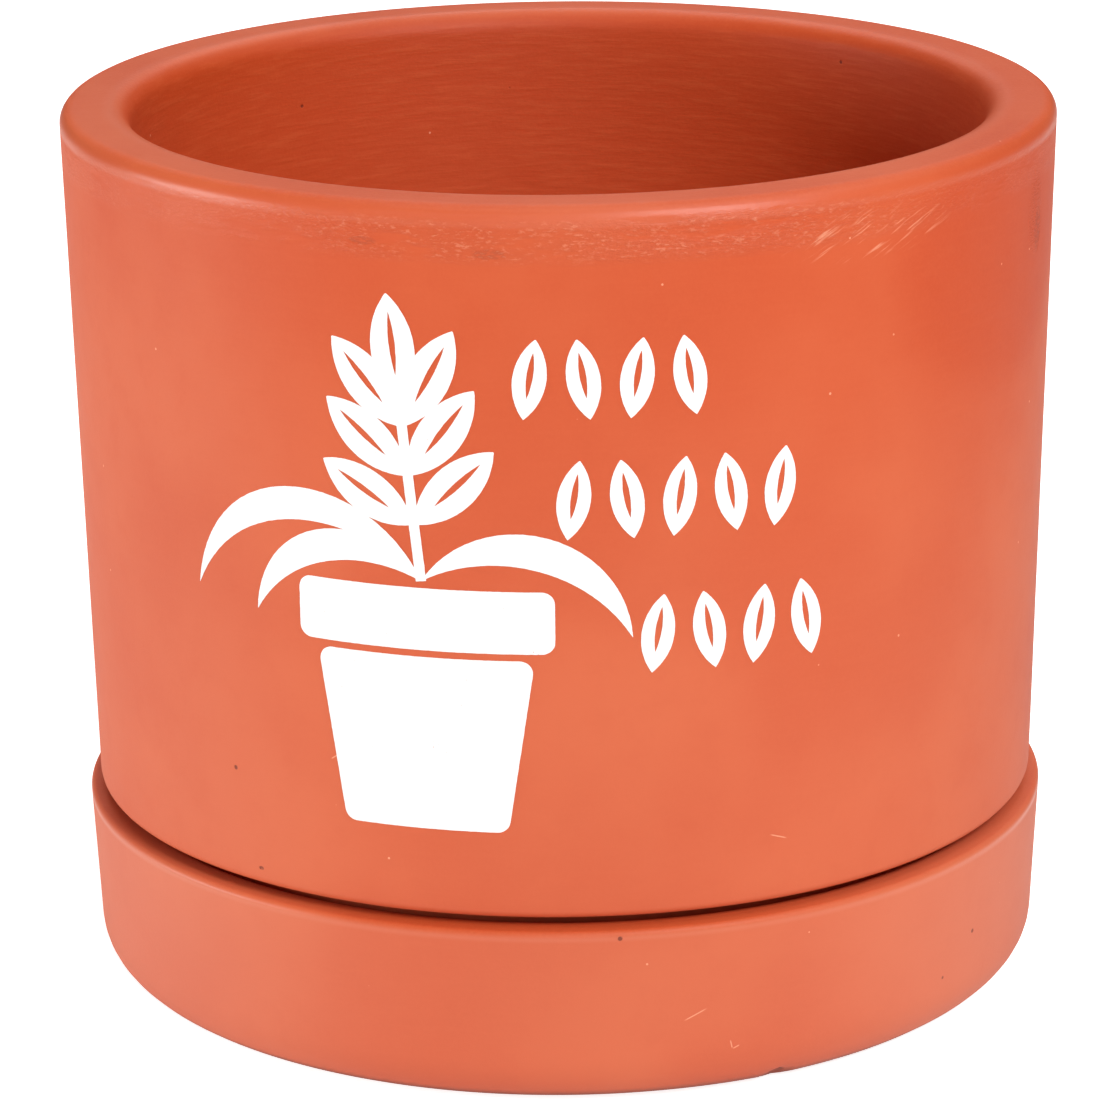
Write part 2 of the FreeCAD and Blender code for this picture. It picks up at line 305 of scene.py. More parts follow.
# Marks on the clay, as (millimetres round the outside from the front, height above the table).
SMEAR_MIDDLE = 4.0
SMEAR_LOW, SMEAR_HIGH, SMEAR_REACH = 109.0, 115.4, 50.0
SCUFF_MIDDLE, SCUFF_HALF = (39.0, 110.0), (14.0, 3.6)
SCAR_MIDDLE, SCAR_HALF = (75.5, 105.5), (3.0, 6.0)
# Not a mark but painted shade: an oval on the right side painted deeper and less pale.
SHADED_SIDE_MIDDLE, SHADED_SIDE_HALF = (66.0, 102.0), (26.0, 20.0)
SCRATCHES = (
    ((14.4, 11.3), (17.6, 12.8)),
    ((20.6, 8.0), (20.9, 6.7)),
    ((20.9, 6.7), (21.9, 7.1)),
    ((26.0, 34.5), (28.6, 33.6)),
    ((-30.0, 44.5), (-28.4, 45.6)),
)
SCRATCH_WIDTH = 0.22
PITS = (
    ((-41.4, 27.7), (0.45, 0.3)),
    ((6.5, 23.2), (0.35, 0.35)),
    ((-45.0, 40.5), (0.35, 0.35)),
    ((28.4, 1.4), (1.2, 0.8)),
)
DENTS = (
    ((-8.2, 110.6), (2.4, 0.8)),
    ((-23.4, 111.6), (2.0, 0.6)),
    ((77.0, 103.0), (1.6, 3.4)),
)


def clay_place(net):
    """Where a point of the clay is: distance from the axis, way round the outside, and height."""
    spot = net.add("ShaderNodeSeparateXYZ", {}, {"Vector": place(net)})
    x, y, height = spot["X"], spot["Y"], spot["Z"]
    radius = x.maths("SQRT", x * x + y * y)
    around = x.maths("ARCTAN2", x, y * -1.0) * LEDGE_RADIUS
    return radius, around, height


def between(net, value, low, high, fade):
    """1 between two levels and 0 outside them, fading inwards."""
    return band(net, value, low, low + fade) * band(net, value, high, high - fade)


def oval(net, around, height, middle, half):
    """1 in an oval place on the outside, fading to 0 at its edge."""
    across, up = (around - middle[0]) / half[0], (height - middle[1]) / half[1]
    return band(net, across * across + up * up, 1.0, 0.3)


def any_of(masks):
    """1 where any of the masks is 1."""
    first, *rest = masks
    for mask in rest:
        first = first.maths("MAXIMUM", first, mask)
    return first


def scratch(net, around, height, start, end):
    """A thin straight scratch across the outside."""
    length = math.dist(start, end)
    turn_x, turn_y = ((e - s) / length for s, e in zip(start, end))
    across, up = around - start[0], height - start[1]
    along = across * turn_x + up * turn_y
    aside = across.maths("ABSOLUTE", across * turn_y - up * turn_x)
    half = SCRATCH_WIDTH / 2
    return between(net, along, 0.0, length, 0.25 * length) * band(net, aside, half, half / 2)


def flecks(net, here, spacing, size, wobble):
    """Scattered specks: 1 in a speck and 0 between them."""
    near = net.add(
        "ShaderNodeTexVoronoi",
        {"feature": "F1"},
        {"Vector": here, "Scale": 1 / spacing, "Randomness": 1.0},
    )["Distance"]
    reach = size / spacing
    return band(net, near + wobble * reach, 1.6 * reach, 1.1 * reach)


def terracotta(name, top, edge_reach, pallor_and_side_sheen, rim_pallor):
    """Fired clay, smoothed by hand: throwing lines, a smeared band under the rim, marks, a partly
    dusty pale veil, and painted sheen, glints and shade.

    The rim's height and how far down its worn edge reaches are in millimetres; the amounts of pale
    veil (partly dusty, partly painted sheen) and of the rim top's pallor (negative for painted shade)
    are shares of the colour.
    """
    material, net = new_material(name)
    here = place(net)
    radius, around, height = clay_place(net)
    outside = band(net, radius, *OUTSIDE_RADII)
    inside = band(net, radius, *INSIDE_RADII) * band(net, height, *INSIDE_HEIGHTS)
    mottle = noise(net, here, 34.0, 2.0, 0.5)
    cloud = noise(net, here, 5.0, 4.0, 0.6)
    grain = noise(net, here, 0.5, 3.0, 0.7)
    lines = noise(net, place(net, (5.0, 5.0, 0.6)), 1.4, 3.0, 0.6)
    wrinkle = noise(net, place(net, (2.2, 2.2, 0.8)), 0.4, 3.0, 0.65)
    drag = noise(net, place(net, (3.0, 3.0, 0.7)), 3.2, 2.0, 0.6)

    off_middle = around.maths("ABSOLUTE", around - SMEAR_MIDDLE)
    near_front = 0.25 + band(net, off_middle, SMEAR_REACH, 20.0) * 0.75
    smear = between(net, height, SMEAR_LOW, SMEAR_HIGH, 1.6) * outside * near_front
    smear = smear * band(net, drag, 0.3, 0.52)
    scuff = net.add(
        "ShaderNodeMapping",
        {"vector_type": "TEXTURE"},
        {"Vector": here, "Rotation": (0.0, math.radians(-30), 0.0), "Scale": (6.0, 6.0, 0.4)},
    )["Vector"]
    scuff = noise(net, scuff, 1.0, 2.0, 0.6)
    scuff = band(net, scuff, 0.56, 0.7) * outside
    scuff = scuff * oval(net, around, height, SCUFF_MIDDLE, SCUFF_HALF)
    scar = band(net, wrinkle, 0.42, 0.6) * outside
    scar = scar * oval(net, around, height, SCAR_MIDDLE, SCAR_HALF)
    scratches = any_of([scratch(net, around, height, *ends) for ends in SCRATCHES]) * outside
    pit = any_of([oval(net, around, height, *place_and_size) for place_and_size in PITS]) * outside
    pit = any_of([pit * band(net, grain, 0.3, 0.45), flecks(net, here, 12.0, 0.32, cloud)])
    speck = flecks(net, here, 7.0, 0.17, cloud)
    dent = any_of([oval(net, around, height, *place_and_size) for place_and_size in DENTS])
    dent = dent * band(net, wrinkle, 0.36, 0.56) * outside

    rim_top = band(net, height, top - 1.1, top - 0.3)
    edge = between(net, height, top - edge_reach, top - 0.1, 0.7) * band(net, radius, *EDGE_RADII)
    lip = band(net, height, top - 8.0, top - 3.0) * band(net, radius, *LIP_RADII)
    # Painted shade: the right side and the upper wall are painted deeper and kept free of the pale
    # veil.
    deeper_shade = oval(net, around, height, SHADED_SIDE_MIDDLE, SHADED_SIDE_HALF) * outside
    deeper_shade = deeper_shade + band(net, height, *UPPER_SHADE_HEIGHTS) * (1 - rim_top) * 0.4
    sides = band(net, around.maths("ABSOLUTE", around), *SIDE_REACHES)
    # Painted contact shadow where the saucer meets the table.
    foot = band(net, height, *FOOT_SHADOW_HEIGHTS)
    # Pale veil: paler towards the bottom and a little at random, plus the rim top's share.
    dust_and_sheen = band(net, height, *PALER_LOW_HEIGHTS) * 0.1 + mottle * 0.04 + rim_top * rim_pallor
    # The saucer is paler all over, and painted sheen makes it paler still towards its sides, where it
    # is seen at a slant; all of this is kept off the painted shade. Painted sheen then pales the
    # rounded rim edges.
    dust_and_sheen = (dust_and_sheen + (0.3 + sides) * pallor_and_side_sheen) * (1 - deeper_shade) + edge * 0.1
    tone = blend(net, band(net, mottle, 0.35, 0.7), CLAY, CLAY_PALE)
    # Deeper orange: at random through the cloud noise, and as painted shade inside the pot, on the
    # right side and on the upper wall.
    deep = band(net, cloud, 0.45, 0.75) * 0.16 + inside * 0.7 + deeper_shade * 0.7
    tone = blend(net, deep, tone, CLAY_DEEP)
    tone = blend(net, band(net, lines, 0.48, 0.7) * (0.1 + inside * 0.26), tone, CLAY_PALE)
    tone = blend(net, band(net, grain, 0.35, 0.75) * (0.16 + rim_top * 0.4), tone, CLAY_PALE)
    tone = blend(net, dust_and_sheen * (1 - inside), tone, CLAY_DUST_AND_SHEEN)
    # Painted glints: pale flecks where light would catch the wrinkles of the smeared band.
    tone = blend(net, band(net, wrinkle, 0.52, 0.7) * smear * 0.26, tone, CLAY_FLECK_AND_GLINT)
    tone = blend(net, scar * 0.55, tone, CLAY_DEEP)
    tone = blend(net, scuff * 0.45 + scratches * 0.6 + speck * 0.7, tone, CLAY_FLECK_AND_GLINT)
    # Painted shade: pits and dents are painted dark, as well as dipped by the bump.
    tone = blend(net, pit * 0.75 + dent * 0.22, tone, CLAY_PIT_SHADE)
    # Painted shade, darker towards the bottom, and a painted contact shadow at the foot.
    tone = blend(net, band(net, height, *SHADY_HEIGHTS) * 0.08 + foot * 0.55, tone, CLAY_FOOT_SHADOW)

    gloss = 0.56 + cloud * 0.08 - any_of([smear * 0.2, edge * 0.24, lip * 0.12]) + inside * 0.1
    relief = grain * (0.22 + rim_top * 0.3) + lines * (0.2 + inside * 0.8) + cloud * 0.25
    relief = relief + wrinkle * (smear * 5.0 + scar * 3.0) + scuff * 0.3
    relief = relief - pit * 1.2 - dent * 1.5 - scratches * 0.3
    bump = net.add(
        "ShaderNodeBump",
        {},
        {"Strength": CLAY_RELIEF, "Distance": CLAY_RELIEF_DEPTH * MM, "Height": relief},
    )["Normal"]
    shader = net.add(
        "ShaderNodeBsdfPrincipled",
        {},
        {"Base Color": tone, "Roughness": gloss, "Normal": bump, "IOR": CLAY_IOR},
    )["BSDF"]
    net.add("ShaderNodeOutputMaterial", {}, {"Surface": shader})
    return material


def printed_ink():
    """Matt white screen-printed ink, thin enough for pinholes that show the clay."""
    material, net = new_material("white_print")
    here = place(net)
    fine = noise(net, here, 0.42, 3.0, 0.65)
    patch = noise(net, here, 5.0, 3.0, 0.6)
    hole = band(net, fine, 0.7, 0.74) * band(net, patch, 0.5, 0.62)
    tone = blend(net, hole * 0.85, INK_WHITE, CLAY)
    bump = net.add(
        "ShaderNodeBump",
        {},
        {"Strength": INK_RELIEF, "Distance": INK_RELIEF_DEPTH * MM, "Height": fine},
    )["Normal"]
    shader = net.add(
        "ShaderNodeBsdfPrincipled",
        {},
        {"Base Color": tone, "Roughness": INK_ROUGHNESS, "Normal": bump},
    )["BSDF"]
    net.add("ShaderNodeOutputMaterial", {}, {"Surface": shader})
    return material


def studio_white():
    """Seamless matt paper sweep with a glow of its own, so that it looks white."""
    material, net = new_material("paper_sweep")
    seen = net.add("ShaderNodeLightPath")["Is Camera Ray"]
    dim = (PAPER_GLOW_ON_CLAY, PAPER_GLOW_ON_CLAY, PAPER_GLOW_ON_CLAY, 1.0)
    glow = blend(net, seen, dim, (1.0, 1.0, 1.0, 1.0))
    shader = net.add(
        "ShaderNodeBsdfPrincipled",
        {},
        {
            "Base Color": (PAPER_WHITE, PAPER_WHITE, PAPER_WHITE, 1.0),
            "Roughness": 0.9,
            "Emission Color": glow,
            "Emission Strength": PAPER_GLOW,
        },
    )["BSDF"]
    net.add("ShaderNodeOutputMaterial", {}, {"Surface": shader})
    return material


# ---------------------------------------------------------------- geometry trees


def new_geometry_tree(name, inputs):
    """A geometry tree with a Geometry input and the named inputs, and wires for each."""
    tree = bpy.data.node_groups.new(name, "GeometryNodeTree")
    tree.interface.new_socket("Geometry", in_out="OUTPUT", socket_type="NodeSocketGeometry")
    tree.interface.new_socket("Geometry", in_out="INPUT", socket_type="NodeSocketGeometry")
    for label, kind in inputs:
        tree.interface.new_socket(label, in_out="INPUT", socket_type=f"NodeSocket{kind}")
    net = Net(tree)
    return net, net.add("NodeGroupInput")


def finish_tree(net, geometry, material):
    """Realize Instances and Set Material, the end of every tree."""
    real = net.add("GeometryNodeRealizeInstances", {}, {"Geometry": geometry})["Geometry"]
    done = net.add("GeometryNodeSetMaterial", {}, {"Geometry": real, "Material": material})
    net.add("NodeGroupOutput", {}, {"Geometry": done["Geometry"]})
    return net.tree


def unevenness(net, position):
    """How far the clay's surface lies under the true form at a place."""
    wave = net.add(
        "ShaderNodeTexNoise",
        {"noise_dimensions": "3D"},
        {"Vector": position, "Scale": 1 / (WAVE_LENGTH * MM), "Detail": 2.0, "Roughness": 0.45},
    )["Fac"]
    return wave * (WAVE_DEPTH * MM)


def turned_clay_tree():
    """Turns a closed profile about Z, cuts channels under its foot and leaves the clay uneven."""
    net, given = new_geometry_tree(
        "turned_clay",
        [
            ("Around", "Int"),
            ("Foot", "Float"),
            ("Channels", "Int"),
            ("Channel Width", "Float"),
            ("Channel Depth", "Float"),
            ("Chip", "Vector"),
            ("Chip Size", "Float"),
            ("Clay", "Material"),
        ],
    )
    profile = given["Geometry"]
    rows = net.add(
        "GeometryNodeAttributeDomainSize", {"component": "MESH"}, {"Geometry": profile}
    )["Point Count"]
    grid = net.add(
        "GeometryNodeMeshGrid", {}, {"Vertices X": given["Around"] + 1, "Vertices Y": rows}
    )["Mesh"]
    index = net.add("GeometryNodeInputIndex")["Index"]
    row = index.maths("FLOORED_MODULO", index, rows)
    column = index.maths("FLOOR", index / rows)
    position = net.add("GeometryNodeInputPosition")["Position"]
    point = net.add(
        "GeometryNodeSampleIndex",
        {"data_type": "FLOAT_VECTOR", "domain": "POINT"},
        {"Geometry": profile, "Value": position, "Index": row},
    )["Value"]
    point = net.add("ShaderNodeSeparateXYZ", {}, {"Vector": point})
    radius = point["X"]
    angle = column / given["Around"] * TURN

    spacing = math.pi / given["Channels"].maths("MAXIMUM", given["Channels"], 1)
    beside = angle.maths("WRAP", angle, spacing, spacing * -1.0)
    beside = angle.maths("ABSOLUTE", angle.maths("SINE", beside) * radius)
    half = given["Channel Width"] / 2
    lift = net.add(
        "ShaderNodeMapRange",
        {"interpolation_type": "SMOOTHSTEP"},
        {
            "Value": beside,
            "From Min": half - NOTCH_EDGE * MM,
            "From Max": half + NOTCH_EDGE * MM,
            "To Min": given["Channel Depth"],
            "To Max": 0.0,
        },
    )["Result"]
    height = lift.maths("MAXIMUM", point["Z"], given["Foot"] + lift)

    corner = net.add(
        "ShaderNodeCombineXYZ",
        {},
        {
            "X": angle.maths("COSINE", angle) * radius,
            "Y": angle.maths("SINE", angle) * radius,
            "Z": height,
        },
    )["Vector"]
    turned = net.add("GeometryNodeSetPosition", {}, {"Geometry": grid, "Position": corner})
    closed = net.add(
        "GeometryNodeMergeByDistance",
        {},
        {"Geometry": turned["Geometry"], "Distance": SEAM_GAP * MM},
    )["Geometry"]
    normal = net.add("GeometryNodeInputNormal")["Normal"]
    away = net.add("ShaderNodeVectorMath", {"operation": "DISTANCE"}, {0: position, 1: given["Chip"]})
    chip = net.add(
        "ShaderNodeMapRange",
        {"interpolation_type": "SMOOTHSTEP"},
        {
            "Value": away["Value"],
            "From Max": given["Chip Size"],
            "To Min": given["Chip Size"] * CHIP_DEPTH,
            "To Max": 0.0,
        },
    )["Result"]
    sink = (unevenness(net, position) + chip) * -1.0
    offset = net.add("ShaderNodeVectorMath", {"operation": "SCALE"}, {0: normal, "Scale": sink})
    uneven = net.add(
        "GeometryNodeSetPosition", {}, {"Geometry": closed, "Offset": offset["Vector"]}
    )["Geometry"]
    smooth = net.add("GeometryNodeSetShadeSmooth", {}, {"Geometry": uneven})["Geometry"]
    return finish_tree(net, smooth, given["Clay"])


def printed_film_tree():
    """Cuts flat outlines with rough edges out of a thin film, and wraps it on the pot's wall.

    The outlines lie flat: X round the wall from the front, Y the height above the table.
    """
    net, given = new_geometry_tree(
        "printed_film",
        [
            ("Middle", "Vector"),
            ("Sheet", "Vector"),
            ("Columns", "Int"),
            ("Rows", "Int"),
            ("Edge Roughness", "Float"),
            ("Ink", "Material"),
        ],
    )
    position = net.add("GeometryNodeInputPosition")["Position"]
    lines = net.add("GeometryNodeMeshToCurve", {}, {"Mesh": given["Geometry"]})["Curve"]
    lines = net.add(
        "GeometryNodeResampleCurve",
        {"mode": "LENGTH"},
        {"Curve": lines, "Length": INK_EDGE_STEP * MM},
    )["Curve"]
    fray = net.add(
        "ShaderNodeTexNoise",
        {"noise_dimensions": "3D"},
        {"Vector": position, "Scale": 1 / (INK_FRAY_SIZE * MM), "Detail": 3.0, "Roughness": 0.7},
    )["Color"]
    fray = net.add(
        "ShaderNodeVectorMath", {"operation": "SUBTRACT"}, {0: fray, 1: (0.5, 0.5, 0.5)}
    )["Vector"]
    fray = net.add(
        "ShaderNodeVectorMath", {"operation": "MULTIPLY"}, {0: fray, 1: (1.0, 1.0, 0.0)}
    )["Vector"]
    fray = net.add(
        "ShaderNodeVectorMath", {"operation": "SCALE"}, {0: fray, "Scale": given["Edge Roughness"]}
    )["Vector"]
    lines = net.add("GeometryNodeSetPosition", {}, {"Geometry": lines, "Offset": fray})["Geometry"]
    shape = net.add(
        "GeometryNodeInputNamedAttribute", {"data_type": "INT"}, {"Name": "shape"}
    )["Attribute"]
    sheet = net.add("GeometryNodeFillCurve", {}, {"Curve": lines, "Group ID": shape})["Mesh"]
    raised = net.add(
        "GeometryNodeExtrudeMesh",
        {"mode": "FACES"},
        {
            "Mesh": sheet,
            "Offset": (0.0, 0.0, 1.0),
            "Offset Scale": BLOCK_HEIGHT * MM,
            "Individual": False,
        },
    )["Mesh"]
    underside = net.add("GeometryNodeFlipFaces", {}, {"Mesh": sheet})["Mesh"]
    blocks = net.add("GeometryNodeJoinGeometry", {}, {"Geometry": [raised, underside]})["Geometry"]
    blocks = net.add(
        "GeometryNodeMergeByDistance", {}, {"Geometry": blocks, "Distance": 0.001 * MM}
    )["Geometry"]
    film = net.add(
        "GeometryNodeMeshCube",
        {},
        {
            "Size": given["Sheet"],
            "Vertices X": given["Columns"],
            "Vertices Y": given["Rows"],
            "Vertices Z": 2,
        },
    )["Mesh"]
    film = net.add(
        "GeometryNodeTransform", {}, {"Geometry": film, "Translation": given["Middle"]}
    )["Geometry"]
    cut = net.add(
        "GeometryNodeMeshBoolean",
        {"operation": "INTERSECT", "solver": "EXACT"},
        {"Mesh": [film, blocks], "Self Intersection": True},
    )["Mesh"]

    flat = net.add("ShaderNodeSeparateXYZ", {}, {"Vector": position})
    height = flat["Y"]
    layer = flat["Z"] / MM - FLAT_LOW
    middle_radius = (RIM_RADIUS + LEDGE_RADIUS) / 2 * MM
    across = flat["X"].maths("SINE", flat["X"] / middle_radius) * middle_radius
    draft = (RIM_RADIUS - LEDGE_RADIUS) / (POT_HIGH - LEDGE_HEIGHT)
    wall = (height - LEDGE_HEIGHT * MM) * draft + LEDGE_RADIUS * MM
    ahead = wall.maths("SQRT", wall * wall - across * across) * -1.0
    on_wall = net.add("ShaderNodeCombineXYZ", {}, {"X": across, "Y": ahead, "Z": height})["Vector"]
    rise = layer * (INK_THICKNESS * MM) + INK_LIFT * MM - unevenness(net, on_wall)
    growth = rise / wall + 1.0
    wrapped = net.add(
        "ShaderNodeCombineXYZ", {}, {"X": across * growth, "Y": ahead * growth, "Z": height}
    )["Vector"]
    film = net.add("GeometryNodeSetPosition", {}, {"Geometry": cut, "Position": wrapped})["Geometry"]
    film = net.add("GeometryNodeSetShadeSmooth", {}, {"Geometry": film})["Geometry"]
    angle = net.add("GeometryNodeInputMeshEdgeAngle")["Unsigned Angle"]
    sharp = angle.maths("GREATER_THAN", angle, INK_EDGE_ANGLE)
    film = net.add(
        "GeometryNodeSetShadeSmooth",
        {"domain": "EDGE"},
        {"Geometry": film, "Selection": sharp, "Shade Smooth": False},
    )["Geometry"]
    return finish_tree(net, film, given["Ink"])


# ---------------------------------------------------------------- making pieces


def grow(name, points, edges, tree, values, shapes=None):
    """Runs a tree on a wire mesh and keeps the result as a plain mesh object."""
    wire = bpy.data.meshes.new(name)
    wire.from_pydata([tuple(c * MM for c in point) for point in points], edges, [])
    if shapes:
        attribute = wire.attributes.new("shape", "INT", "POINT")
        attribute.data.foreach_set("value", shapes)
    maker = bpy.data.objects.new(f"{name}_maker", wire)
    bpy.context.scene.collection.objects.link(maker)
    modifier = maker.modifiers.new("make", "NODES")
    modifier.node_group = tree
    for item in tree.interface.items_tree:
        if item.in_out == "INPUT" and item.name in values:
            modifier[item.identifier] = values[item.name]
    made = bpy.data.meshes.new_from_object(
        maker.evaluated_get(bpy.context.evaluated_depsgraph_get())
    )
    made.name = name
    bpy.data.objects.remove(maker)
    bpy.data.meshes.remove(wire)
    piece = bpy.data.objects.new(name, made)
    bpy.context.scene.collection.objects.link(piece)
    return piece


def arc_points(corner, before, after, radius, steps=9):
    """A round corner between two straight runs."""
    (x, y), (bx, by), (ax, ay) = corner, before, after
    back, ahead = math.dist(corner, before), math.dist(corner, after)
    ux, uy = (bx - x) / back, (by - y) / back
    vx, vy = (ax - x) / ahead, (ay - y) / ahead
    half = math.acos(max(-1.0, min(1.0, ux * vx + uy * vy))) / 2
    reach = radius / math.tan(half)
    mx, my = ux + vx, uy + vy
    size = math.hypot(mx, my)
    cx, cy = x + mx / size * radius / math.sin(half), y + my / size * radius / math.sin(half)
    start = math.atan2(y + uy * reach - cy, x + ux * reach - cx)
    sweep = math.atan2(y + vy * reach - cy, x + vx * reach - cx) - start
    sweep = (sweep + math.pi) % TURN - math.pi
    return [
        (cx + radius * math.cos(turn), cy + radius * math.sin(turn))
        for turn in (start + sweep * k / steps for k in range(steps + 1))
    ]


def round_profile(corners, closed):
    """A profile of (radius, height, rounding) corners as points no more than RUN_STEP apart."""
    count = len(corners)
    path = []
    for index, (radius, height, rounding) in enumerate(corners):
        ends = not closed and index in (0, count - 1)
        if ends or rounding == 0:
            path.append((radius, height))
            continue
        before, after = corners[index - 1][:2], corners[(index + 1) % count][:2]
        path += arc_points((radius, height), before, after, rounding)
    if closed:
        path.append(path[0])
    points = [path[0]]
    for here, there in zip(path, path[1:]):
        pieces = max(1, math.ceil(math.dist(here, there) / RUN_STEP))
        points += [
            tuple(h + (t - h) * k / pieces for h, t in zip(here, there))
            for k in range(1, pieces + 1)
        ]
    return points


def turned_piece(name, corners, closed, clay, **channels):
    """A solid turned from a profile."""
    points = [(radius, 0.0, height) for radius, height in round_profile(corners, closed)]
    edges = [(k, k + 1) for k in range(len(points) - 1)]
    values = {"Around": POT_SEGMENTS, "Clay": clay, **channels}
    return grow(name, points, edges, clay_tree, values)


def three_point_arc(start, through, end, steps=24):
    """Points of the circular arc from start, through a point, to end."""
    (ax, ay), (bx, by), (cx, cy) = start, through, end
    turn = 2 * (ax * (by - cy) + bx * (cy - ay) + cx * (ay - by))
    a2, b2, c2 = ax * ax + ay * ay, bx * bx + by * by, cx * cx + cy * cy
    ox = (a2 * (by - cy) + b2 * (cy - ay) + c2 * (ay - by)) / turn
    oy = (a2 * (cx - bx) + b2 * (ax - cx) + c2 * (bx - ax)) / turn
    radius = math.dist((ox, oy), start)
    first = math.atan2(ay - oy, ax - ox)
    way = 1.0 if turn > 0 else -1.0
    sweep = (math.atan2(cy - oy, cx - ox) - first) * way % TURN * way
    return [
        (ox + radius * math.cos(angle), oy + radius * math.sin(angle))
        for angle in (first + sweep * k / steps for k in range(steps))
    ]


def turned_point(point, angle, pivot):
    """A flat point turned clockwise about a pivot, in degrees."""
    c, s = math.cos(math.radians(angle)), math.sin(math.radians(angle))
    x, y = point[0] - pivot[0], point[1] - pivot[1]
    return pivot[0] + x * c + y * s, pivot[1] - x * s + y * c


def lens(base, start, end, width, angle):
    """A leaf outline along a line from its base."""
    middle = (start + end) / 2

    def at(across, along):
        return turned_point((base[0] + across, base[1] + along), angle, base)

    left = three_point_arc(at(0, start), at(-width / 2, middle), at(0, end))
    return left + three_point_arc(at(0, end), at(width / 2, middle), at(0, start))


def leaf(base, length, width, line, angle):
    """A solid leaf with a thin clear midrib: two loops of one shape."""
    midrib = lens(base, 0.26 * length, 0.84 * length, line, angle)
    return [lens(base, 0.0, length, width, angle), midrib]


def planter_loops():
    """A plain flowerpot: a tapered body, and a rim band above a thin clear line."""
    shoulder = PLANTER_FOOT + PLANTER_BODY_HEIGHT
    levels = (
        (PLANTER_FOOT, shoulder, PLANTER_FOOT_WIDTH, PLANTER_BODY_WIDTH),
        (shoulder + PLANTER_LINE, PLANTER_TOP, PLANTER_RIM_WIDTH, PLANTER_RIM_WIDTH),
    )
    shapes = []
    for low, high, low_width, high_width in levels:
        corners = [
            (PLANTER_ACROSS - low_width / 2, low),
            (PLANTER_ACROSS + low_width / 2, low),
            (PLANTER_ACROSS + high_width / 2, high),
            (PLANTER_ACROSS - high_width / 2, high),
        ]
        loop = []
        for index, corner in enumerate(corners):
            loop += arc_points(corner, corners[index - 1], corners[(index + 1) % 4], PLANTER_ROUND)
        shapes.append([loop])
    return shapes


def sprig_loops():
    """A stem with a leaf at its tip and leaves in pairs, and long blades arching to both sides."""
    root = (PLANTER_ACROSS, PLANTER_TOP + PLANTER_LINE)
    half = STEM_WIDTH / 2

    def on_stem(aside, along):
        return turned_point((root[0] + aside, root[1] + along), STEM_LEAN, root)

    corners = ((-half, 0), (half, 0), (half, STEM_LENGTH), (-half, STEM_LENGTH))
    stem = [on_stem(aside, along) for aside, along in corners]
    leaf_size = (LEAF_LENGTH, LEAF_WIDTH, LEAF_LINE)
    shapes = [[stem], leaf(on_stem(0, STEM_LENGTH - half), *leaf_size, STEM_LEAN)]
    pairs = len(LEAF_PAIR_ANGLES)
    for pair, angle in enumerate(LEAF_PAIR_ANGLES):
        joint = on_stem(0, STEM_LENGTH + LEAF_WIDTH / 2 - (pairs - pair) * LEAF_SPACING)
        shapes += [leaf(joint, *leaf_size, STEM_LEAN + side * angle) for side in (-1, 1)]
    thick = BLADE_THICKNESS / 2
    for crest, tip in BLADES:
        end = (root[0] + tip[0], root[1] + tip[1])
        over, under = [(root[0] + crest[0], root[1] + crest[1] + rise) for rise in (thick, -thick)]
        shapes.append([three_point_arc(root, over, end) + three_point_arc(end, under, root)])
    return shapes


def row_loops(count, start, level):
    """A row of small upright leaves, tilted to alternate sides."""
    shapes = []
    for index in range(count):
        middle = (start + index * MARK_PITCH, level)
        tilt = MARK_TILT * (-1) ** index
        foot = turned_point((middle[0], level - MARK_LENGTH / 2), tilt, middle)
        shapes.append(leaf(foot, MARK_LENGTH, MARK_WIDTH, MARK_LINE, tilt))
    return shapes


def printed_piece(name, shapes, ink):
    """A film of ink on the wall, from shapes that are each a list of closed flat loops."""
    points, edges, numbers = [], [], []
    for number, loops in enumerate(shapes):
        for loop in loops:
            first = len(points)
            points += [(x, y, BLOCK_LOW) for x, y in loop]
            edges += [(first + k, first + (k + 1) % len(loop)) for k in range(len(loop))]
            numbers += [number] * len(loop)
    low, high = ([pick(p[axis] for p in points) for axis in (0, 1)] for pick in (min, max))
    sheet = [high[axis] - low[axis] + 2 * INK_CELL for axis in (0, 1)]
    middle = [(high[axis] + low[axis]) / 2 for axis in (0, 1)]
    values = {
        "Middle": [middle[0] * MM, middle[1] * MM, (FLAT_LOW + FLAT_HIGH) / 2 * MM],
        "Sheet": [sheet[0] * MM, sheet[1] * MM, (FLAT_HIGH - FLAT_LOW) * MM],
        "Columns": math.ceil(sheet[0] / INK_CELL),
        "Rows": math.ceil(sheet[1] / INK_CELL),
        "Edge Roughness": 2 * INK_EDGE_ROUGH * MM,
        "Ink": ink,
    }
    return grow(name, points, edges, film_tree, values, numbers)


# ---------------------------------------------------------------- the object

pot_finish = terracotta("pot_terracotta", POT_HIGH, 3.0, 0.0, 0.0)
# The saucer: paler all over, with painted sheen towards its sides, and its rim top, in the pot's
# shade, painted less pale as shade.
saucer_finish = terracotta("saucer_terracotta", SAUCER_HIGH, 1.6, 0.16, -0.14)
ink = printed_ink()
clay_tree = turned_clay_tree()
film_tree = printed_film_tree()

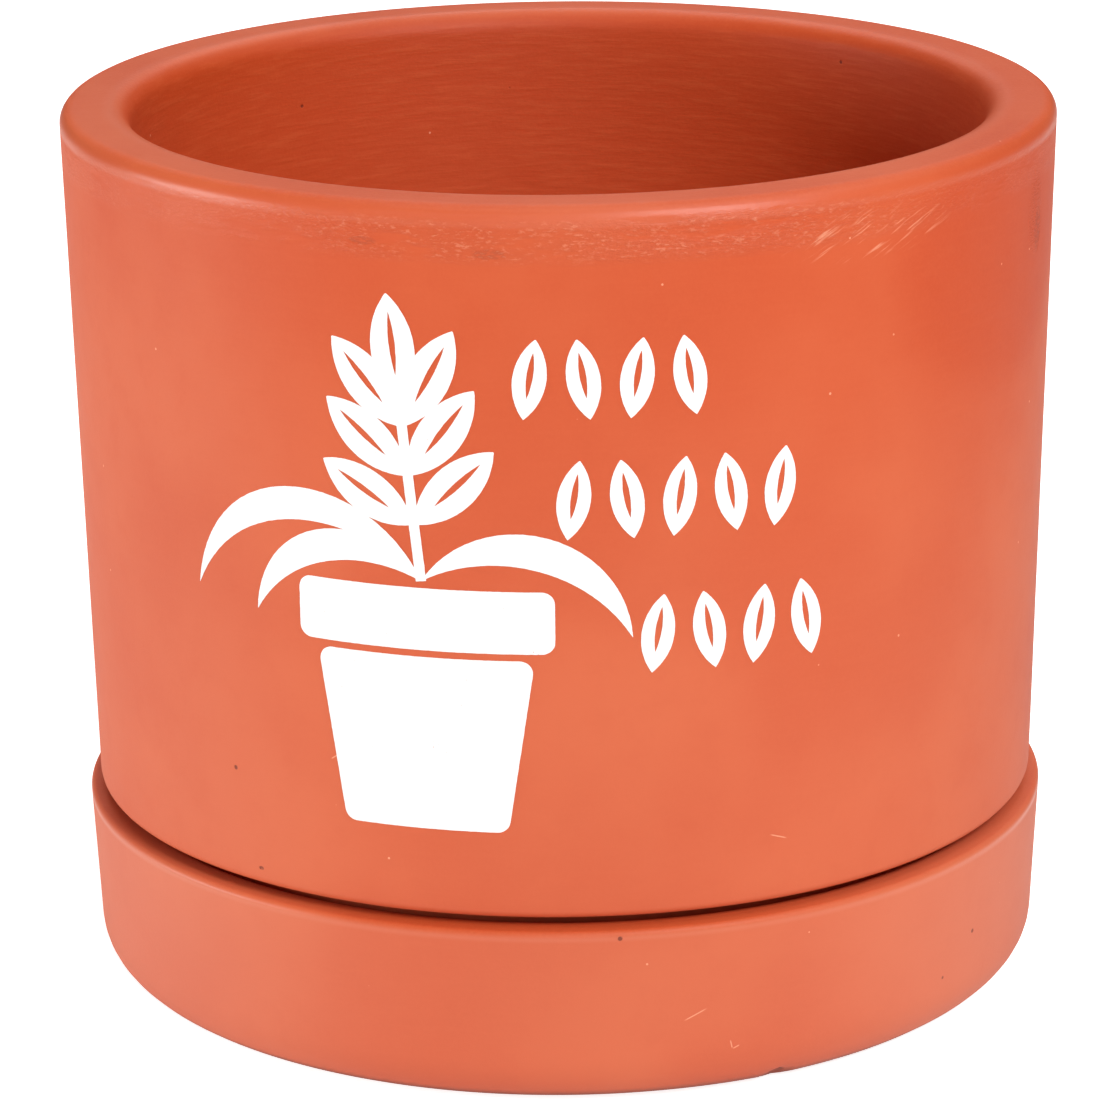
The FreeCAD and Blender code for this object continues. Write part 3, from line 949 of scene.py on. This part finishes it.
saucer = turned_piece(
    "saucer_clay",
    [
        (0.0, SAUCER_RECESS, 0),
        (SAUCER_BASE_RADIUS - SAUCER_RING, SAUCER_RECESS, 0.5),
        (SAUCER_BASE_RADIUS - SAUCER_RING, 0.0, 0.4),
        (SAUCER_BASE_RADIUS, 0.0, 6.0),
        (SAUCER_RADIUS, SAUCER_HIGH, SAUCER_EDGE_ROUND),
        (DISH_RADIUS, SAUCER_HIGH, 1.9),
        (DISH_FLOOR_RADIUS, POT_LOW, 2.5),
        (0.0, POT_LOW, 0),
    ],
    False,
    saucer_finish,
    **{
        "Chip": [
            (SAUCER_BASE_RADIUS - CHIP_SIZE) * math.sin(CHIP_ROUND_FRONT) * MM,
            (SAUCER_BASE_RADIUS - CHIP_SIZE) * -math.cos(CHIP_ROUND_FRONT) * MM,
            CHIP_HEIGHT * MM,
        ],
        "Chip Size": CHIP_SIZE * MM,
    },
)
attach(saucer, "saucer")
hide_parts("saucer")

pot = turned_piece(
    "pot_clay",
    [
        (FOOT_RADIUS - FOOT_RING, POT_LOW, 0.8),
        (FOOT_RADIUS, POT_LOW, 3.0),
        (FOOT_RADIUS, LEDGE_HEIGHT, 1.5),
        (LEDGE_RADIUS, LEDGE_HEIGHT, 1.3),
        (RIM_RADIUS, POT_HIGH, 2.0),
        (MOUTH_RADIUS, POT_HIGH, MOUTH_ROUND),
        (WELL_RADIUS, WELL_FLOOR, 7.0),
        (DRAIN_RADIUS, WELL_FLOOR, 0.9),
        (DRAIN_RADIUS, POT_LOW + BASE_RECESS, 0.9),
        (FOOT_RADIUS - FOOT_RING, POT_LOW + BASE_RECESS, 0.8),
    ],
    True,
    pot_finish,
    **{
        "Foot": POT_LOW * MM,
        "Channels": NOTCH_COUNT,
        "Channel Width": NOTCH_WIDTH * MM,
        "Channel Depth": BASE_RECESS * MM,
    },
)
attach(pot, "pot")
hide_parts("pot")

films = {"planter": planter_loops(), "sprig": sprig_loops()}
films.update({f"marks_{row}": row_loops(*layout) for row, layout in MARK_ROWS.items()})
for name, shapes in films.items():
    film = printed_piece(f"ink_{name}", shapes, ink)
    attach(film, "pot")
    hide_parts(f"print_{name}")


# ---------------------------------------------------------------- studio


def floor():
    """A wide level sheet of pale paper."""
    mesh = bpy.data.meshes.new("sweep")
    half = 6.0
    corners = [(-half, -half, 0), (half, -half, 0), (half, half, 0), (-half, half, 0)]
    mesh.from_pydata(corners, [], [(0, 1, 2, 3)])
    mesh.materials.append(studio_white())
    sheet = bpy.data.objects.new("sweep", mesh)
    bpy.context.scene.collection.objects.link(sheet)


def softbox(name, position, target, size, power):
    """A square diffused lamp aimed at a point."""
    lamp = bpy.data.lights.new(name, "AREA")
    lamp.shape = "RECTANGLE"
    lamp.size, lamp.size_y = size
    lamp.energy = power
    holder = bpy.data.objects.new(name, lamp)
    aim = Vector(target) - Vector(position)
    turned = aim.to_track_quat("-Z", "Y").to_matrix().to_4x4()
    holder.matrix_world = Matrix.Translation(position) @ turned
    bpy.context.scene.collection.objects.link(holder)


def sky(strength):
    """A dim even surround for light, which looks white where it is seen past the paper's edge."""
    world = bpy.data.worlds.new("studio")
    world.use_nodes = True
    world.node_tree.nodes.clear()
    net = Net(world.node_tree)
    seen = net.add("ShaderNodeLightPath")["Is Camera Ray"]
    even = net.add(
        "ShaderNodeBackground",
        {},
        {"Color": (1.0, 1.0, 1.0, 1.0), "Strength": seen * (1.0 - strength) + strength},
    )["Background"]
    net.add("ShaderNodeOutputWorld", {}, {"Surface": even})
    bpy.context.scene.world = world


def camera():
    """The product camera: close, a little above the rim, tilted down."""
    pitch, yaw, roll = 0.299, -0.0021, -0.0109
    ahead = Vector(
        (math.sin(yaw) * math.cos(pitch), math.cos(yaw) * math.cos(pitch), -math.sin(pitch))
    )
    level = Vector((math.cos(yaw), -math.sin(yaw), 0.0))
    upright = level.cross(ahead)
    right = level * math.cos(roll) + upright * math.sin(roll)
    up = upright * math.cos(roll) - level * math.sin(roll)
    lens_data = bpy.data.cameras.new("camera")
    lens_data.lens = 164.7
    lens_data.sensor_width = 36.0
    lens_data.sensor_fit = "HORIZONTAL"
    holder = bpy.data.objects.new("camera", lens_data)
    axes = Matrix((right, up, -ahead)).transposed()
    holder.matrix_world = Matrix.Translation((0.0, -0.6484, 0.2536)) @ axes.to_4x4()
    bpy.context.scene.collection.objects.link(holder)
    bpy.context.scene.camera = holder


bpy.context.scene.view_settings.view_transform = "Standard"
floor()
sky(0.02)
middle = (0.0, 0.0, 0.06)
softbox("key_right", (0.6, -0.8, 0.9), middle, (0.5, 0.5), 10.4)
softbox("overhead", (0.0, 0.0, 1.2), middle, (0.8, 0.8), 2.8)
softbox("overhead_right", (0.45, 0.0, 0.95), middle, (0.5, 0.5), 1.4)
softbox("behind", (0.0, 0.9, 0.9), middle, (1.0, 0.5), 4.4)
softbox("panel_left", (-1.0, -0.1, 0.14), middle, (0.6, 0.26), 5.4)
softbox("front_low", (0.0, -1.2, 0.3), middle, (0.9, 0.4), 1.8)
softbox("strip_front", (-0.1, -0.95, 0.8), middle, (1.6, 0.08), 2.0)
camera()
